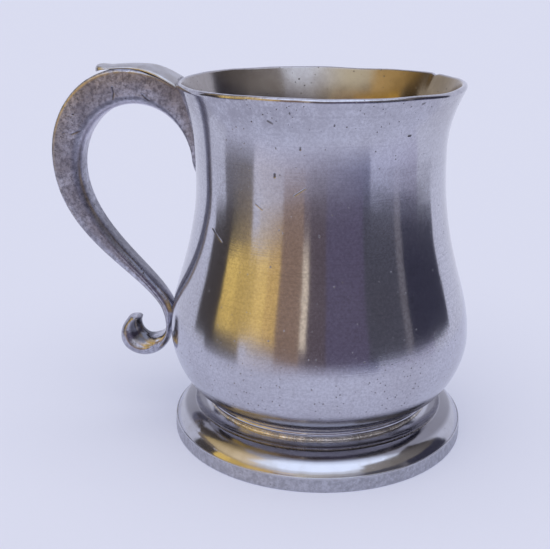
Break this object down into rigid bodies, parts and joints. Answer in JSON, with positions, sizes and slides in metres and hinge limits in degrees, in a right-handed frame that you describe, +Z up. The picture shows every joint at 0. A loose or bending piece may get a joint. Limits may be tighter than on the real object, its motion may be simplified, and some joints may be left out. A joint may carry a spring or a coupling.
{
  "type": "pewter mug",
  "caption": "Tulip-bodied pewter drinking mug with a flared lip, a spreading moulded foot, and a scroll handle with a thumb rest and a curled terminal.",
  "frame": {"origin": "on the table, under the middle of the overall length from the handle to the far side of the belly", "axes": "+Z up along the mug's axis, -X towards the handle, the handle's middle plane is XZ"},
  "size_m": [0.1364, 0.0988, 0.1214],
  "materials": {
    "pewter": "polished and worn to a satin, with fine pits",
    "grey_pewter": "duller cast surface with a grey patina",
    "solder": "bright soft solder"
  },
  "bodies": {
    "root": {"barrel": "pewter", "bowl": "pewter", "belly_solder": "solder", "foot_ring": "pewter", "foot_solder": "solder", "handle": "grey_pewter", "upper_handle_solder": "solder", "lower_handle_solder": "solder", "thumb_rest": "pewter"}
  },
  "joints": []
}
